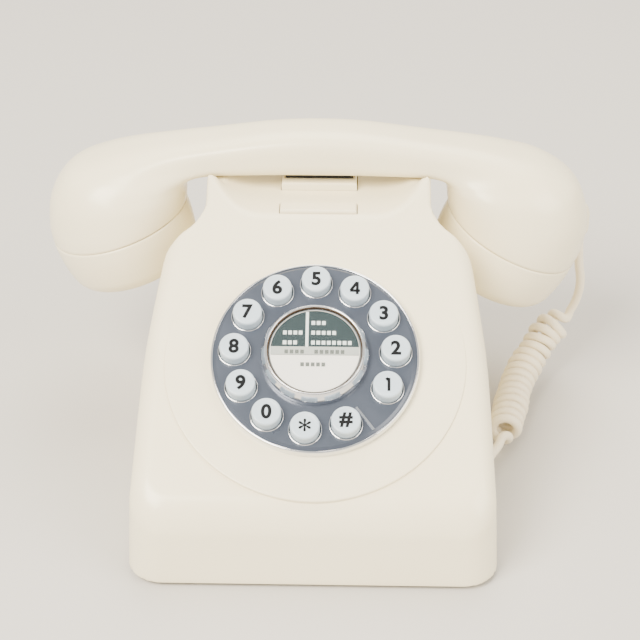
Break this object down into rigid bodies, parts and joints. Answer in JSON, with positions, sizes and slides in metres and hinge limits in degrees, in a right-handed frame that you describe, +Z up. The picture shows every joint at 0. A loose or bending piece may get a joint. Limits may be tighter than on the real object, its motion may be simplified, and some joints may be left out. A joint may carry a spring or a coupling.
{
  "type": "corded landline phone",
  "caption": "Retro corded desk telephone: wedge base, push buttons in a round dial plate, cradle with handset, hook bar and a curly handset cord.",
  "frame": {"origin": "on the table under the middle of the phone, centred on the base and the handset", "axes": "+Z up, the front with its dial faces -Y, the handset lies along X"},
  "size_m": [0.2467, 0.2118, 0.1327],
  "materials": {
    "ivory_plastic": "glossy moulded ABS",
    "dial_paint": "satin blue-grey lacquer on aluminium",
    "bright_chrome": "polished chrome plate",
    "mark_metal": "bright engraved line",
    "button_plastic": "glossy pale blue-white ABS",
    "number_card": "printed card",
    "clear_lens": "clear acrylic",
    "redial_plastic": "grey ABS",
    "cord_vinyl": "soft ivory PVC",
    "plug_plastic": "clear polycarbonate",
    "black_rubber": "matt rubber",
    "base_plastic": "textured black ABS",
    "steel": "zinc-plated steel",
    "circuit_board": "green solder mask",
    "component_black": "black moulded plastic",
    "capsule_metal": "plain aluminium can",
    "cable_grey": "grey PVC ribbon"
  },
  "bodies": {
    "base": {"base_cover": "ivory_plastic", "base_plate": "base_plastic", "ballast_weight": "steel", "rubber_feet": "black_rubber", "base_screws": "steel", "main_board": "circuit_board", "board_screws": "steel", "line_transformer": "component_black", "electrolytic_capacitors": "component_black", "controller_chip": "component_black", "ringer_speaker": "component_black", "line_socket": "component_black", "handset_socket": "component_black", "hook_microswitch": "component_black", "hook_spring": "steel", "dial_plate": "dial_paint", "dial_rim_trim": "bright_chrome", "finger_stop_mark": "mark_metal", "keypad_frame": "redial_plastic", "keypad_membrane": "black_rubber", "keypad_board": "circuit_board", "keypad_screws": "steel", "centre_bezel": "bright_chrome", "keypad_cable": "cable_grey", "ringer_volume_switch": "component_black", "tone_pulse_switch": "component_black", "cord_coil": "cord_vinyl", "cord_lower_lead": "cord_vinyl", "cord_plug": "plug_plastic"},
    "handset": {"handset_handle": "ivory_plastic", "earpiece_cap": "ivory_plastic", "mouthpiece_cap": "ivory_plastic", "receiver_capsule": "capsule_metal", "receiver_gasket": "black_rubber", "transmitter_capsule": "capsule_metal", "transmitter_gasket": "black_rubber", "handset_weight": "steel", "handset_wires": "cable_grey", "hook_pad": "black_rubber", "cord_grommet": "cord_vinyl", "cord_upper_lead": "cord_vinyl"},
    "hook": {"hook_bar": "ivory_plastic"},
    "redial": {"redial_button": "redial_plastic", "number_card": "number_card", "card_lens": "clear_lens"},
    "ringer_volume": {"ringer_volume_slider": "component_black"},
    "tone_pulse": {"tone_pulse_slider": "component_black"},
    "button_1": {"button_1": "button_plastic"},
    "button_2": {"button_2": "button_plastic"},
    "button_3": {"button_3": "button_plastic"},
    "button_4": {"button_4": "button_plastic"},
    "button_5": {"button_5": "button_plastic"},
    "button_6": {"button_6": "button_plastic"},
    "button_7": {"button_7": "button_plastic"},
    "button_8": {"button_8": "button_plastic"},
    "button_9": {"button_9": "button_plastic"},
    "button_0": {"button_0": "button_plastic"},
    "button_star": {"button_star": "button_plastic"},
    "button_hash": {"button_hash": "button_plastic"}
  },
  "joints": [
    {"name": "handset_lift", "type": "slide", "parent": "base", "child": "handset", "axis": [0, 0, 1], "range_m": [0, 0.12], "deforming": ["cord_coil"]},
    {"name": "hook_travel", "type": "slide", "parent": "base", "child": "hook", "axis": [0, 0, 1], "range_m": [0, 0.004], "deforming": ["hook_spring"]},
    {"name": "button_1_press", "type": "slide", "parent": "base", "child": "button_1", "axis": [0, 0.515, -0.8572], "range_m": [0, 0.0015], "stiffness_N_per_m": 600},
    {"name": "button_2_press", "type": "slide", "parent": "base", "child": "button_2", "axis": [0, 0.515, -0.8572], "range_m": [0, 0.0015], "stiffness_N_per_m": 600},
    {"name": "button_3_press", "type": "slide", "parent": "base", "child": "button_3", "axis": [0, 0.515, -0.8572], "range_m": [0, 0.0015], "stiffness_N_per_m": 600},
    {"name": "button_4_press", "type": "slide", "parent": "base", "child": "button_4", "axis": [0, 0.515, -0.8572], "range_m": [0, 0.0015], "stiffness_N_per_m": 600},
    {"name": "button_5_press", "type": "slide", "parent": "base", "child": "button_5", "axis": [0, 0.515, -0.8572], "range_m": [0, 0.0015], "stiffness_N_per_m": 600},
    {"name": "button_6_press", "type": "slide", "parent": "base", "child": "button_6", "axis": [0, 0.515, -0.8572], "range_m": [0, 0.0015], "stiffness_N_per_m": 600},
    {"name": "button_7_press", "type": "slide", "parent": "base", "child": "button_7", "axis": [0, 0.515, -0.8572], "range_m": [0, 0.0015], "stiffness_N_per_m": 600},
    {"name": "button_8_press", "type": "slide", "parent": "base", "child": "button_8", "axis": [0, 0.515, -0.8572], "range_m": [0, 0.0015], "stiffness_N_per_m": 600},
    {"name": "button_9_press", "type": "slide", "parent": "base", "child": "button_9", "axis": [0, 0.515, -0.8572], "range_m": [0, 0.0015], "stiffness_N_per_m": 600},
    {"name": "button_0_press", "type": "slide", "parent": "base", "child": "button_0", "axis": [0, 0.515, -0.8572], "range_m": [0, 0.0015], "stiffness_N_per_m": 600},
    {"name": "button_star_press", "type": "slide", "parent": "base", "child": "button_star", "axis": [0, 0.515, -0.8572], "range_m": [0, 0.0015], "stiffness_N_per_m": 600},
    {"name": "button_hash_press", "type": "slide", "parent": "base", "child": "button_hash", "axis": [0, 0.515, -0.8572], "range_m": [0, 0.0015], "stiffness_N_per_m": 600},
    {"name": "redial_press", "type": "slide", "parent": "base", "child": "redial", "axis": [0, 0.515, -0.8572], "range_m": [0, 0.0015], "stiffness_N_per_m": 600},
    {"name": "ringer_volume_slide", "type": "slide", "parent": "base", "child": "ringer_volume", "axis": [1, 0, 0], "range_m": [0, 0.006]},
    {"name": "tone_pulse_slide", "type": "slide", "parent": "base", "child": "tone_pulse", "axis": [1, 0, 0], "range_m": [0, 0.006]}
  ],
  "couplings": [
    {"joint": "hook_travel", "follows": "handset_lift", "ratio": 0.033333}
  ]
}
